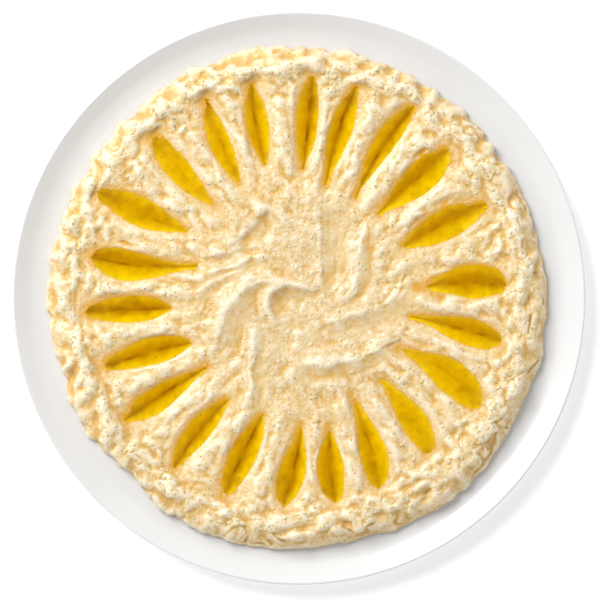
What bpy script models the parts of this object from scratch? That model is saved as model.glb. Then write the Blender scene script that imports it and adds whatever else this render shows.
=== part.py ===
"""Dish of baba ganoush: a low white coupe plate, the spread dip on it, and an oil pool in each spoon groove.

Metres, +Z up. The origin is on the table under the plate's centre. +Y points to the top of the photograph.
Tables are in millimetres and degrees, because they are sizes read with a ruler.
"""

import math

import bmesh
import bpy
from mathutils import Vector, noise

MM = 0.001

# ---------------------------------------------------------------- driving dimensions (mm)
PLATE_R = 140.0  # outer radius of the lip
PLATE_STEPS = 60
FLOOR_Z = 6.0  # inside floor of the plate
FLOOR_R = 124.0  # where the floor starts to curve up
RIM_BEND = 18.0  # radius of the curved rim
RIM_SLOPE = 30.0  # degrees at the lip
WALL_T = 3.2  # thickness of the rim
LIP_R = 0.8
UNDER_Z = 1.8  # underside of the well
FOOT_IN, FOOT_OUT = 80.0, 86.0

GAP = 0.3  # left between touching pieces
POOL_GAP = 0.45  # left between a pool and its groove

DIP_RINGS = 17
DIP_TOP = 8.4  # height of the dip above the floor, in the middle
RIDGE_RISE = 0.6  # how much the ridges between the grooves stand above the middle
CREST_RISE = 2.2  # how much the rim stands above the ridges
EDGE_FROM = 0.84  # share of the outline radius where the dip starts to fall away
WALL_SHARE = 0.985  # foot of the dip's side against its outline
WALL_FOOT = 1.4  # height of the side where it meets the outline

OIL_LEVEL = 7.2  # above the floor
FULLER = 0.5  # how much higher the oil stands in the widest grooves
GROOVE_DEPTH = 3.7  # of the oil, at the deepest
BANK = 0.15  # least height of the paste over the oil beside it
GROOVE_ROUND, GROOVE_STATIONS = 8, 7
OPEN_ABOVE, FLARE = 8.0, 0.7  # how far a groove's cut reaches over the oil, and widens

# Outline radius of the dip every 15 degrees, from +X anticlockwise
OUTLINE = (
    121.3, 120.4, 120.9, 120.6, 122.1, 122.0, 122.9, 123.9, 122.8, 121.6, 121.3, 121.8,
    123.2, 122.2, 123.2, 120.6, 122.7, 123.5, 122.0, 121.5, 123.0, 123.8, 121.5, 121.6,
)  # fmt: skip

# Middle of every groove against its row in the table
GROOVE_SHIFT = (0.6, -0.67)

# One row for each spoon groove: bearing of its middle, its distance from the centre, its
# tilt from the bearing, length, width, where along it is widest (0 inner, 1 outer), bow.
GROOVES = (
    (4.5, 78.0, -3.1, 44.6, 16.6, 0.66, 1.2),
    (27.0, 78.4, 0.4, 47.0, 14.6, 0.52, 0.7),
    (46.0, 79.6, -3.9, 48.0, 15.2, 0.62, -0.1),
    (60.1, 82.5, -2.4, 54.0, 10.7, 0.64, 2.2),
    (75.9, 81.5, -2.9, 52.0, 11.0, 0.60, 1.8),
    (87.5, 85.2, -3.4, 46.0, 11.0, 0.57, -0.4),
    (103.4, 87.8, -3.3, 40.5, 10.7, 0.51, 1.1),
    (116.0, 85.5, -3.8, 45.0, 9.9, 0.50, 1.1),
    (131.9, 84.5, -1.4, 47.0, 11.8, 0.58, 1.5),
    (150.8, 87.0, 5.2, 47.0, 14.2, 0.56, 1.4),
    (166.2, 79.5, 8.4, 54.0, 15.0, 0.66, 2.8),
    (183.5, 84.4, -1.0, 43.5, 13.3, 0.44, -0.1),
    (200.1, 80.0, -4.0, 46.5, 13.2, 0.43, -1.1),
    (215.1, 79.0, -2.4, 50.0, 12.2, 0.63, -0.5),
    (233.6, 80.9, -2.3, 43.0, 11.8, 0.53, -1.4),
    (250.1, 81.0, -5.7, 46.0, 12.9, 0.51, -0.3),
    (267.4, 80.0, -9.8, 41.0, 12.7, 0.62, 1.5),
    (281.4, 80.8, -7.8, 38.0, 12.8, 0.61, -1.2),
    (295.0, 75.0, -8.4, 49.0, 13.0, 0.68, 1.4),
    (312.0, 77.2, -7.8, 43.0, 12.5, 0.60, 1.9),
    (331.0, 77.0, -5.4, 48.0, 16.2, 0.65, 3.6),
    (349.4, 77.0, -4.4, 46.0, 13.2, 0.67, 0.8),
)

# Blunter outer ends than a pool's plain lens shape gives, 0..1 in the order of the grooves
BLUNT = (1, 0.4, 0.2, 0.2, 0.1, 0.3, 0, 0, 0.2, 0.2, 0.2, 0.5, 0.1, 0, 0.1, 0.4, 0.8, 0.9, 0.9, 0.8, 1, 1)

# Spoon strokes of the swirl: the crest line, the side it falls to (+1 left of its direction,
# -1 right), the crest's height and how far its slope before it reaches, then how deep the
# trough is, over what distance the crest falls into it, and how wide the trough is
STROKES = (
    (((-2, 8.4), (-9.2, 8.3), (-18, 8.4), (-24.8, 6.0), (-30.2, 1.6), (-34.6, -3.8), (-37.5, -9.7), (-38.5, -16.5), (-40.5, -22.8), (-45, -32)), 1, 2.7, 9.5, 0.5, 5.5, 16.0),
    (((9.3, 2.5), (5.4, 5.0), (-0.4, 6.6), (-5.3, 6.9), (-9.7, 5.5), (-13.6, 2.5), (-15.1, -1.9), (-14.6, -6.7), (-13.1, -11.6), (-11.2, -16.5)), 1, 2.0, 6.0, 1.3, 3.4, 15.0),
    (((11.5, 52), (10.8, 40), (10.8, 30), (10.6, 18), (10.6, 8), (11.5, -2)), 1, 0.7, 8.0, 1.1, 2.2, 19.0),
    (((34.7, 35.2), (30.8, 28.4), (29.3, 21.1), (28.9, 13.8), (27.9, 7.9), (24.9, 2.1), (20.6, -2.8), (15.7, -6.2)), 1, 1.4, 12.0, 0.8, 3.6, 10.0),
    (((51.3, 21), (50.4, 8.9), (47.4, 1.1), (40.0, -4.2), (30.8, -6.9), (22.5, -9.7), (14.2, -11.1), (5.4, -10.6)), 1, 1.9, 8.5, 0.6, 4.2, 12.0),
    (((56, -13), (46.9, -20.4), (39.6, -24.3), (30.8, -28.2), (22.5, -30.7), (12.7, -32.1), (3, -32.1), (-6, -30)), 1, 2.3, 11.0, 0.6, 5.0, 11.0),
    (((-20.4, -11), (-21.9, -22.8), (-22.9, -32.6), (-23.4, -42.4), (-23.9, -54)), 1, 1.7, 7.0, 0.5, 3.6, 9.0),
    (((-35, 25.5), (-28.5, 31), (-23, 37.5), (-18, 42), (-9, 43.5)), -1, 0.6, 6.5, 1.7, 2.6, 16.0),
    (((-16, 25.5), (-27, 25), (-36, 23), (-50, 18)), 1, 1.3, 5.5, 0.3, 2.6, 7.0),
    (((-12, 20.5), (-22, 19), (-31, 16), (-43, 13), (-57, 7)), 1, 1.5, 5.5, 0.3, 2.6, 7.0),
    (((-24, 13.8), (-33, 12), (-41, 8), (-49, 3), (-57, -5)), 1, 1.2, 4.5, 0.3, 2.6, 7.0),
    (((1, -12), (-0.4, -22.8), (-2.4, -33), (-4, -44)), 1, 0.8, 6.0, 0.1, 6.0, 14.0),
)  # fmt: skip


# ---------------------------------------------------------------- helpers
def smooth(a, b, x):
    t = min(1.0, max(0.0, (x - a) / (b - a)))
    return t * t * (3 - 2 * t)


def plate_inside(r):
    """Height of the plate's upper surface at radius r."""
    x = max(0.0, r - FLOOR_R)
    bend = RIM_BEND * math.sin(math.radians(RIM_SLOPE))
    if x <= bend:
        return FLOOR_Z + RIM_BEND - math.sqrt(RIM_BEND**2 - x * x)
    rise = RIM_BEND * (1 - math.cos(math.radians(RIM_SLOPE)))
    return FLOOR_Z + rise + (x - bend) * math.tan(math.radians(RIM_SLOPE))


def outline(theta):
    """Radius of the dip's edge, through the table by a periodic Catmull-Rom curve."""
    n = len(OUTLINE)
    at = (theta / (2 * math.pi) * n) % n
    i, t = int(at), at - int(at)
    a, b, c, d = (OUTLINE[(i + k) % n] for k in (-1, 0, 1, 2))
    return b + 0.5 * t * (
        c - a + t * (2 * a - 5 * b + 4 * c - d + t * (3 * (b - c) + d - a))
    )


def groove_frame(row):
    """Middle and unit axis, pointing outwards, of a groove."""
    bearing, dist, tilt = math.radians(row[0]), row[1], math.radians(row[2])
    return (
        Vector((dist * math.cos(bearing), dist * math.sin(bearing))) + Vector(GROOVE_SHIFT),
        Vector((math.cos(bearing + tilt), math.sin(bearing + tilt))),
    )


def oil_level(row):
    """Height of a pool over the floor: the wide ones are fuller."""
    return OIL_LEVEL + FULLER * smooth(12.6, 16.0, row[4])


def fullness(number, u):
    """Share of the groove's full width at u, from its inner end 0 to its outer end 1."""
    if not 0 < u < 1:
        return 0.0
    widest = GROOVES[number][5]
    power = 0.8 if u < widest else 0.8 - 0.42 * BLUNT[number]
    return math.sin(math.pi * u ** (math.log(0.5) / math.log(widest))) ** power


def hill(q):
    """Cross-section of a groove: 1 on its bottom line, 0 on the ridges beside it."""
    q = min(1.0, max(0.0, math.sqrt(q * q + 0.001) - 0.01))
    return 0.5 * (1 + math.cos(math.pi * q**0.9))


def carve(number, x, y, z):
    """How far a groove cuts into a surface of height z, down to the bank of its oil."""
    row = GROOVES[number]
    mid, axis = groove_frame(row)
    dx, dy = x - mid.x, y - mid.y
    along = dx * axis.x + dy * axis.y + row[3] / 2
    u = min(1.0, max(0.0, along / row[3]))
    off = -dx * axis.y + dy * axis.x - row[6] * (1 - (2 * u - 1) ** 2)
    if not -26.0 < along < row[3] + 6.0 or abs(off) > 22.0:
        return 0.0
    half = row[4] / 2 * fullness(number, along / row[3])
    radius = row[1] + along - row[3] / 2
    ahead = GROOVES[(number + 1) % len(GROOVES)][0] - row[0]
    behind = row[0] - GROOVES[number - 1][0]
    left, right = (
        max(radius * math.radians(gap % 360) / 2 * 0.98, half * 1.45, 4.0) for gap in (ahead, behind)
    )
    before, after = max(0.0, -along), max(0.0, along - row[3])
    fade = 0.6 * math.exp(-before / 2.6) + 0.4 * math.exp(-before / 16.0)
    fade *= 1 - smooth(0.0, 6.0, after)
    stand = z - oil_level(row) - BANK
    deep = max(stand, 0.2) / max(hill(half * 2 / (left + right)), 0.2)
    return min(deep * fade * hill(off / left if off > 0 else -off / right), max(stand, 0.0))


def smooth_line(points, steps=5):
    """A Catmull-Rom curve through the given points."""
    q = [points[0], *points, points[-1]]
    line = []
    for i in range(1, len(q) - 2):
        for k in range(steps):
            t = k / steps
            line.append(
                tuple(
                    b + 0.5 * t * (c - a + t * (2 * a - 5 * b + 4 * c - d + t * (3 * (b - c) + d - a)))
                    for a, b, c, d in zip(q[i - 1], q[i], q[i + 1], q[i + 2])
                )
            )
    return [*line, points[-1]]


CRESTS = [smooth_line(stroke[0]) for stroke in STROKES]


def soft_low(a, b, soft):
    """The lower of two heights, rounded where they meet."""
    low = min(a, b)
    return low - soft * math.log(math.exp((low - a) / soft) + math.exp((low - b) / soft))


def swirl(x, y):
    """Height that the swirl's strokes add or take away at a point."""
    total = 0.0
    for stroke, line in zip(STROKES, CRESTS):
        side, crest, before, fall, over, width = stroke[1:]
        best, signed, share = 1e9, 0.0, 0.0
        for i, ((ax, ay), (bx, by)) in enumerate(zip(line, line[1:])):
            ex, ey = bx - ax, by - ay
            t = ((x - ax) * ex + (y - ay) * ey) / (ex * ex + ey * ey)
            t = min(1.0, max(0.0, t))
            px, py = x - ax - t * ex, y - ay - t * ey
            near = math.hypot(px, py)
            if near < best:
                best = near
                signed = math.copysign(near, (ex * py - ey * px) * side)
                share = (i + t) / (len(line) - 1)
        if best > width + 8:
            continue
        taper = smooth(0.0, 0.20, share) * smooth(0.0, 0.24, 1 - share)
        into = max(signed, 0.0)
        climb = crest * min(1.6, max(0.0, 1 + signed / before)) ** 1.35
        descend = (crest + fall) * math.exp(-into / over) - fall * (1 - smooth(0.45 * width, width, into))
        descend += (crest + fall) / over * max(-signed, 0.0)
        total += taper * soft_low(climb, descend, 0.22)
    return total


def dip_height(x, y):
    """Height of the dip's upper surface above the plate's floor."""
    r = math.hypot(x, y)
    theta = math.atan2(y, x)
    edge = outline(theta)
    s = r / edge
    z = DIP_TOP + RIDGE_RISE * smooth(0.32, 0.62, s) + CREST_RISE * smooth(0.84, 0.93, s)
    if r < 78.0:
        z += swirl(x, y) * (1 - smooth(0.42, 0.62, s))
    z += noise.noise(Vector((x / 9.0, y / 9.0, 3.1))) * (0.3 + 1.2 * smooth(0.78, 0.93, s)) + 1.4 * smooth(0.82, 0.91, s)
    cuts = [carve(number, x, y, z) for number in range(len(GROOVES))]
    z -= 0.6 * math.log(1 + sum(math.exp(cut / 0.6) - 1 for cut in cuts))
    if max(cuts) > 0.2:
        z = max(z, oil_level(GROOVES[cuts.index(max(cuts))]) + BANK)
    t = min(1.0, max(0.0, (s - EDGE_FROM) / (1 - EDGE_FROM)))
    foot = WALL_FOOT + plate_inside(r) - FLOOR_Z
    return foot + (z - foot) * (1 - t**2.4) ** 0.75


# ---------------------------------------------------------------- Blender helpers
def clear_scene():
    for obj in list(bpy.data.objects):
        bpy.data.objects.remove(obj, do_unlink=True)


def collection(name, parent=None):
    made = bpy.data.collections.new(name)
    (parent or bpy.context.scene.collection).children.link(made)
    return made


def material(name, colour, roughness, coat=0.0):
    made = bpy.data.materials.new(name)
    made.use_nodes = True
    shader = made.node_tree.nodes["Principled BSDF"]
    shader.inputs["Base Color"].default_value = (*colour, 1.0)
    shader.inputs["Roughness"].default_value = roughness
    shader.inputs["Metallic"].default_value = 0.0
    shader.inputs["Coat Weight"].default_value = coat
    return made


def mesh_object(name, bm, into, mat=None):
    mesh = bpy.data.meshes.new(name)
    bm.normal_update()
    bm.to_mesh(mesh)
    bm.free()
    if mat:
        mesh.materials.append(mat)
    obj = bpy.data.objects.new(name, mesh)
    into.objects.link(obj)
    return obj


def shade_round(obj, degrees):
    obj.data.shade_smooth()
    obj.data.set_sharp_from_angle(angle=math.radians(degrees))


# ---------------------------------------------------------------- plate
def plate_profile():
    """(radius, height) from the middle of the well, over the lip, to the middle of the underside."""
    slope = math.radians(RIM_SLOPE)
    points = [(0.0, FLOOR_Z), (56.0, FLOOR_Z)]
    points += [(r, plate_inside(r)) for r in (104.0, FLOOR_R, 127.0, 130.0, 133.0)]
    # The lip: a half round of radius LIP_R, whose flanks are the rim's two sides
    reach = PLATE_R - LIP_R
    middle = plate_inside(reach) - LIP_R / math.cos(slope)
    for k in range(5):
        a = math.pi / 2 + slope - k * (math.pi + slope * 0.1) / 4
        points.append((reach + LIP_R * math.cos(a), middle + LIP_R * math.sin(a)))
    # The outer side, WALL_T below the inner one
    for share in (0.92, 0.62, 0.30):
        a = slope * share
        r = FLOOR_R + RIM_BEND * math.sin(a) + WALL_T * math.sin(a)
        z = FLOOR_Z + RIM_BEND * (1 - math.cos(a)) - WALL_T * math.cos(a)
        points.append((r, z))
    points += [
        (FLOOR_R - 6.0, UNDER_Z),
        (FOOT_OUT + 1.6, UNDER_Z),
        (FOOT_OUT, 0.0),
        (FOOT_IN, 0.0),
        (FOOT_IN - 1.4, UNDER_Z),
        (0.0, UNDER_Z),
    ]
    return points


def make_plate(into, mat):
    mesh = bpy.data.meshes.new("plate")
    points = plate_profile()
    mesh.from_pydata(
        [(r * MM, 0.0, z * MM) for r, z in points],
        [(i, i + 1) for i in range(len(points) - 1)],
        [],
    )
    mesh.materials.append(mat)
    plate = bpy.data.objects.new("plate", mesh)
    into.objects.link(plate)
    turn = plate.modifiers.new("Turn", "SCREW")
    turn.axis = "Z"
    turn.steps = turn.render_steps = PLATE_STEPS
    turn.use_merge_vertices = True
    turn.merge_threshold = 0.00005
    turn.use_smooth_shade = True
    return plate


# ---------------------------------------------------------------- dip
def square_to_disc(a, b):
    """A point of the square -1..1 as (radius 0..1, angle): squares become circles."""
    if abs(a) < 1e-9 and abs(b) < 1e-9:
        return 0.0, 0.0
    if abs(a) >= abs(b):
        return abs(a), math.pi / 4 * b / a + (0 if a > 0 else math.pi)
    return abs(b), math.pi / 2 - math.pi / 4 * a / b + (0 if b > 0 else math.pi)


def make_dip(into, mat):
    bm = bmesh.new()
    bmesh.ops.create_grid(
        bm, x_segments=2 * DIP_RINGS, y_segments=2 * DIP_RINGS, size=1.0
    )
    for v in bm.verts:
        share, theta = square_to_disc(v.co.x, v.co.y)
        r = (1 - (1 - share) ** 1.2) * outline(theta)
        x, y = r * math.cos(theta), r * math.sin(theta)
        v.co = ((x * MM, y * MM, (FLOOR_Z + dip_height(x, y)) * MM))
    # The side wall, the foot on the plate and the flat underside
    rings = [e for e in bm.edges if e.is_boundary]
    for step in ("side", "under"):
        made = bmesh.ops.extrude_edge_only(bm, edges=rings)["geom"]
        for v in (g for g in made if isinstance(g, bmesh.types.BMVert)):
            theta = math.atan2(v.co.y, v.co.x)
            edge = outline(theta)
            r = edge * (WALL_SHARE if step == "side" else 0.93)
            z = plate_inside(r) + GAP
            v.co = (r * math.cos(theta) * MM, r * math.sin(theta) * MM, z * MM)
        rings = [
            g for g in made if isinstance(g, bmesh.types.BMEdge) and g.is_boundary
        ]
    bmesh.ops.holes_fill(bm, edges=rings, sides=0)
    bmesh.ops.recalc_face_normals(bm, faces=bm.faces)
    dip = mesh_object("dip", bm, into, mat)
    shade_round(dip, 50)
    return dip


# ---------------------------------------------------------------- grooves and oil
def boat(number, inset, oil):
    """A groove as a deformed sphere, its poles at the groove's two ends.

    With oil the upper half is pressed flat at the oil's level, and without it the
    upper half is a lid above the dip, so that it can cut the groove open.
    """
    bm = bmesh.new()
    bmesh.ops.create_uvsphere(
        bm, u_segments=GROOVE_ROUND, v_segments=GROOVE_STATIONS, radius=1.0
    )
    row = GROOVES[number]
    mid, axis = groove_frame(row)
    side = Vector((-axis.y, axis.x))
    length, width, bow = row[3], row[4], row[6]
    level = FLOOR_Z + oil_level(row)
    first = (1 - math.cos(math.pi / GROOVE_STATIONS)) / 2 - 0.001
    for v in bm.verts:
        sx, sy, sz = v.co.z, v.co.x, v.co.y
        u = (sx + 1) / 2
        if abs(sx) > 0.999:
            # The groove's end walls slope up from the first ring, where the oil ends
            if oil:
                u = first if sx < 0 else 1 - first
            off, z = 0.0, -0.05 if oil else OPEN_ABOVE
        else:
            share, ring = fullness(number, u), math.hypot(sy, sz)
            c, s = sy / ring, sz / ring
            half, deep = width / 2 * share, GROOVE_DEPTH * share**0.85
            off = max(half - inset, 0.35 * half) * c
            z = max(deep - inset, 0.35 * deep) * s
            if s > 1e-6 and oil:
                z = 0.0
            elif s > 1e-6:
                # The cut's lid, a little wider than the groove, so its side walls lean out
                off = (width / 2 * share + FLARE) * c / math.cos(2 * math.pi / GROOVE_ROUND)
                z = OPEN_ABOVE
        along = (u - 0.5) * length
        off += bow * (1 - (2 * u - 1) ** 2)
        at = mid + axis * along + side * off
        v.co = (at.x * MM, at.y * MM, (level + z) * MM)
    return bm


def build():
    clear_scene()
    dish = collection("dish_of_baba_ganoush")
    cutters = collection("cutters")
    white = material("glazed_white", (0.90, 0.90, 0.90), 0.12, 0.4)
    cream = material("dip", (0.84, 0.69, 0.45), 0.55)
    gold = material("oil", (0.78, 0.50, 0.01), 0.05, 1.0)

    make_plate(dish, white)
    dip = make_dip(dish, cream)

    for number in range(len(GROOVES)):
        i = number + 1
        cutter = mesh_object(f"groove_{i:02d}", boat(number, 0.0, False), cutters)
        cutter.hide_render = True
        cutter.display_type = "WIRE"
        pool = mesh_object(f"oil_{i:02d}", boat(number, POOL_GAP, True), dish, gold)
        shade_round(pool, 40)

    cut = dip.modifiers.new("Grooves", "BOOLEAN")
    cut.operation = "DIFFERENCE"
    cut.operand_type = "COLLECTION"
    cut.collection = cutters
    cut.solver = "EXACT"


build()
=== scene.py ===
"""Looks of the dish of baba ganoush: a glazed plate, the spread dip, its oil pools, crumbs and flecks.

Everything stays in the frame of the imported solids: metres, +Z up, origin on the table under
the plate's centre, +Y to the top of the photograph. Tables are in millimetres and degrees.
"""

import math

import bpy
import numpy as np
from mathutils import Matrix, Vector


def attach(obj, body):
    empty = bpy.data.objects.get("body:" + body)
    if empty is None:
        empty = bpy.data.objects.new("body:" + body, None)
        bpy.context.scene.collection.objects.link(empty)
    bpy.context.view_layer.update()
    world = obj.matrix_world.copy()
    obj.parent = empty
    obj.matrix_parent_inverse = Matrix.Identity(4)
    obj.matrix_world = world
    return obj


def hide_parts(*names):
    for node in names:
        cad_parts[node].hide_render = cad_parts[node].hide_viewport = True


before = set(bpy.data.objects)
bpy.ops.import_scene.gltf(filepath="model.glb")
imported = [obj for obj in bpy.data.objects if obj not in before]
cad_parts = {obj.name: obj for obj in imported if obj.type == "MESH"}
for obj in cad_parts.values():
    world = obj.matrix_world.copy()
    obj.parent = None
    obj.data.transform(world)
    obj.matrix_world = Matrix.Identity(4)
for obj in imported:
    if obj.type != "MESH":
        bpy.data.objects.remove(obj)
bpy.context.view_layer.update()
MM = 0.001
PI = math.pi

# ---------------------------------------------------------------- sizes shared with the solids (mm)
PLATE_R = 140.0
FLOOR_Z, FLOOR_R = 6.0, 124.0
RIM_BEND, RIM_SLOPE = 18.0, 30.0
WALL_T, LIP_R, UNDER_Z = 3.2, 0.8, 1.8
FOOT_IN, FOOT_OUT = 80.0, 86.0
DIP_TOP, RIDGE_RISE, CREST_RISE, EDGE_FROM, WALL_SHARE = 8.4, 0.6, 2.2, 0.84, 0.985
OIL_LEVEL = 7.2

OUTLINE = (
    121.3, 120.4, 120.9, 120.6, 122.1, 122.0, 122.9, 123.9, 122.8, 121.6, 121.3, 121.8,
    123.2, 122.2, 123.2, 120.6, 122.7, 123.5, 122.0, 121.5, 123.0, 123.8, 121.5, 121.6,
)  # fmt: skip

# Bearing of the middle, its distance from the centre, tilt, length, width, where along it
# is widest, bow
GROOVES = (
    (4.5, 78.0, -3.1, 44.6, 16.6, 0.66, 1.2),
    (27.0, 78.4, 0.4, 47.0, 14.6, 0.52, 0.7),
    (46.0, 79.6, -3.9, 48.0, 15.2, 0.62, -0.1),
    (60.1, 82.5, -2.4, 54.0, 10.7, 0.64, 2.2),
    (75.9, 81.5, -2.9, 52.0, 11.0, 0.60, 1.8),
    (87.5, 85.2, -3.4, 46.0, 11.0, 0.57, -0.4),
    (103.4, 87.8, -3.3, 40.5, 10.7, 0.51, 1.1),
    (116.0, 85.5, -3.8, 45.0, 9.9, 0.50, 1.1),
    (131.9, 84.5, -1.4, 47.0, 11.8, 0.58, 1.5),
    (150.8, 87.0, 5.2, 47.0, 14.2, 0.56, 1.4),
    (166.2, 79.5, 8.4, 54.0, 15.0, 0.66, 2.8),
    (183.5, 84.4, -1.0, 43.5, 13.3, 0.44, -0.1),
    (200.1, 80.0, -4.0, 46.5, 13.2, 0.43, -1.1),
    (215.1, 79.0, -2.4, 50.0, 12.2, 0.63, -0.5),
    (233.6, 80.9, -2.3, 43.0, 11.8, 0.53, -1.4),
    (250.1, 81.0, -5.7, 46.0, 12.9, 0.51, -0.3),
    (267.4, 80.0, -9.8, 41.0, 12.7, 0.62, 1.5),
    (281.4, 80.8, -7.8, 38.0, 12.8, 0.61, -1.2),
    (295.0, 75.0, -8.4, 49.0, 13.0, 0.68, 1.4),
    (312.0, 77.2, -7.8, 43.0, 12.5, 0.60, 1.9),
    (331.0, 77.0, -5.4, 48.0, 16.2, 0.65, 3.6),
    (349.4, 77.0, -4.4, 46.0, 13.2, 0.67, 0.8),
)

# Blunter outer ends than a pool's plain lens shape gives, 0..1 in the order of the grooves
BLUNT = (1, 0.4, 0.2, 0.2, 0.1, 0.3, 0, 0, 0.2, 0.2, 0.2, 0.5, 0.1, 0, 0.1, 0.4, 0.8, 0.9, 0.9, 0.8, 1, 1)

# Spoon strokes of the swirl: the crest line, the side it falls to (+1 left of its direction,
# -1 right), the crest's height and how far its slope before it reaches, then how deep the
# trough is, over what distance the crest falls into it, and how wide the trough is
STROKES = (
    (((-2, 8.4), (-9.2, 8.3), (-18, 8.4), (-24.8, 6.0), (-30.2, 1.6), (-34.6, -3.8), (-37.5, -9.7), (-38.5, -16.5), (-40.5, -22.8), (-45, -32)), 1, 2.7, 9.5, 0.5, 5.5, 16.0),
    (((9.3, 2.5), (5.4, 5.0), (-0.4, 6.6), (-5.3, 6.9), (-9.7, 5.5), (-13.6, 2.5), (-15.1, -1.9), (-14.6, -6.7), (-13.1, -11.6), (-11.2, -16.5)), 1, 2.0, 6.0, 1.3, 3.4, 15.0),
    (((11.5, 52), (10.8, 40), (10.8, 30), (10.6, 18), (10.6, 8), (11.5, -2)), 1, 0.7, 8.0, 1.1, 2.2, 19.0),
    (((34.7, 35.2), (30.8, 28.4), (29.3, 21.1), (28.9, 13.8), (27.9, 7.9), (24.9, 2.1), (20.6, -2.8), (15.7, -6.2)), 1, 1.4, 12.0, 0.8, 3.6, 10.0),
    (((51.3, 21), (50.4, 8.9), (47.4, 1.1), (40.0, -4.2), (30.8, -6.9), (22.5, -9.7), (14.2, -11.1), (5.4, -10.6)), 1, 1.9, 8.5, 0.6, 4.2, 12.0),
    (((56, -13), (46.9, -20.4), (39.6, -24.3), (30.8, -28.2), (22.5, -30.7), (12.7, -32.1), (3, -32.1), (-6, -30)), 1, 2.3, 11.0, 0.6, 5.0, 11.0),
    (((-20.4, -11), (-21.9, -22.8), (-22.9, -32.6), (-23.4, -42.4), (-23.9, -54)), 1, 1.7, 7.0, 0.5, 3.6, 9.0),
    (((-35, 25.5), (-28.5, 31), (-23, 37.5), (-18, 42), (-9, 43.5)), -1, 0.6, 6.5, 1.7, 2.6, 16.0),
    (((-16, 25.5), (-27, 25), (-36, 23), (-50, 18)), 1, 1.3, 5.5, 0.3, 2.6, 7.0),
    (((-12, 20.5), (-22, 19), (-31, 16), (-43, 13), (-57, 7)), 1, 1.5, 5.5, 0.3, 2.6, 7.0),
    (((-24, 13.8), (-33, 12), (-41, 8), (-49, 3), (-57, -5)), 1, 1.2, 4.5, 0.3, 2.6, 7.0),
    (((1, -12), (-0.4, -22.8), (-2.4, -33), (-4, -44)), 1, 0.8, 6.0, 0.1, 6.0, 14.0),
)  # fmt: skip

# The key light comes from the upper left
KEY_BEARING, KEY_RISE = 132.0, 43.0
LIGHT = np.array([math.cos(math.radians(KEY_BEARING)), math.sin(math.radians(KEY_BEARING))])


# ---------------------------------------------------------------- numbers
def smooth(a, b, x):
    t = np.clip((x - a) / (b - a), 0.0, 1.0)
    return t * t * (3 - 2 * t)


def scramble(ix, iy, iz, seed):
    """A repeatable 32-bit number for each point of a lattice."""
    h = (ix * 374761393 + iy * 668265263 + iz * 1442695041 + seed * 974634777) & 0xFFFFFFFF
    h = ((h ^ (h >> 15)) * 2246822519) & 0xFFFFFFFF
    h = ((h ^ (h >> 13)) * 3266489917) & 0xFFFFFFFF
    return (h ^ (h >> 16)) & 0xFFFFFFFF


def perlin(p, seed=0):
    """Gradient noise, about -1..1, at points p of shape (n, 3)."""
    cell = np.floor(p).astype(np.int64)
    f = p - cell
    w = f * f * f * (f * (f * 6 - 15) + 10)
    total = np.zeros(len(p))
    for dx in (0, 1):
        for dy in (0, 1):
            for dz in (0, 1):
                h = scramble(cell[:, 0] + dx, cell[:, 1] + dy, cell[:, 2] + dz, seed)
                gx = (h & 1023) / 511.5 - 1
                gy = ((h >> 10) & 1023) / 511.5 - 1
                gz = ((h >> 20) & 1023) / 511.5 - 1
                dot = gx * (f[:, 0] - dx) + gy * (f[:, 1] - dy) + gz * (f[:, 2] - dz)
                share = (
                    (w[:, 0] if dx else 1 - w[:, 0])
                    * (w[:, 1] if dy else 1 - w[:, 1])
                    * (w[:, 2] if dz else 1 - w[:, 2])
                )
                total += dot * share
    return total * 1.7


def cells(p, seed=0):
    """Distance to the nearest and second nearest scattered point, and the nearest one's own number."""
    base = np.floor(p).astype(np.int64)
    f1 = np.full(len(p), 9.0)
    f2 = np.full(len(p), 9.0)
    own = np.zeros(len(p))
    for dx in (-1, 0, 1):
        for dy in (-1, 0, 1):
            for dz in (-1, 0, 1):
                c = base + (dx, dy, dz)
                h = scramble(c[:, 0], c[:, 1], c[:, 2], seed)
                q = np.stack([h & 1023, (h >> 10) & 1023, (h >> 20) & 1023], 1) / 1023.0
                d = np.sqrt(((c + q - p) ** 2).sum(1))
                closer = d < f1
                f2 = np.where(closer, f1, np.minimum(f2, d))
                own = np.where(closer, (h & 0xFFFF) / 65535.0, own)
                f1 = np.where(closer, d, f1)
    return f1, f2, own


def billow(p, seed=0):
    """Rounded hills that meet in creases, -1..1."""
    return 2.6 * np.sqrt(perlin(p, seed) ** 2 + 0.004) - 1.0


def lumps(p, seed=0):
    """Rounded crumbs of unequal size that meet in creases."""
    f1, _, own = cells(p, seed)
    return (0.32 - np.minimum(f1, 0.85) ** 2) * (0.4 + 1.2 * own)


def in_space(x, y, z=0.0):
    return np.stack([x, y, np.zeros_like(x) + z], 1)


# ---------------------------------------------------------------- the plate's and dip's form
def plate_inside(r):
    """Height of the plate's upper surface at radius r."""
    x = np.maximum(0.0, r - FLOOR_R)
    bend = RIM_BEND * math.sin(math.radians(RIM_SLOPE))
    curve = FLOOR_Z + RIM_BEND - np.sqrt(RIM_BEND**2 - np.minimum(x, bend) ** 2)
    return curve + np.maximum(0.0, x - bend) * math.tan(math.radians(RIM_SLOPE))


def outline(theta):
    """Radius of the dip's edge: the table by a periodic Catmull-Rom curve, and a crumbly waver."""
    table = np.array(OUTLINE)
    n = len(table)
    at = (theta / (2 * PI) * n) % n
    i = np.floor(at).astype(int)
    t = at - i
    a, b, c, d = (table[(i + k) % n] for k in (-1, 0, 1, 2))
    r = b + 0.5 * t * (c - a + t * (2 * a - 5 * b + 4 * c - d + t * (3 * (b - c) + d - a)))
    ring = in_space(np.cos(theta), np.sin(theta)) * 122
    # Smoother along the sides that face +X and -Y
    waver = 1 - 0.6 * smooth(0.0, 0.55, np.cos(theta + 0.75))
    return r + (0.9 * perlin(ring / 9.0, 5) + 0.55 * perlin(ring / 4.0, 6)) * waver


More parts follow.
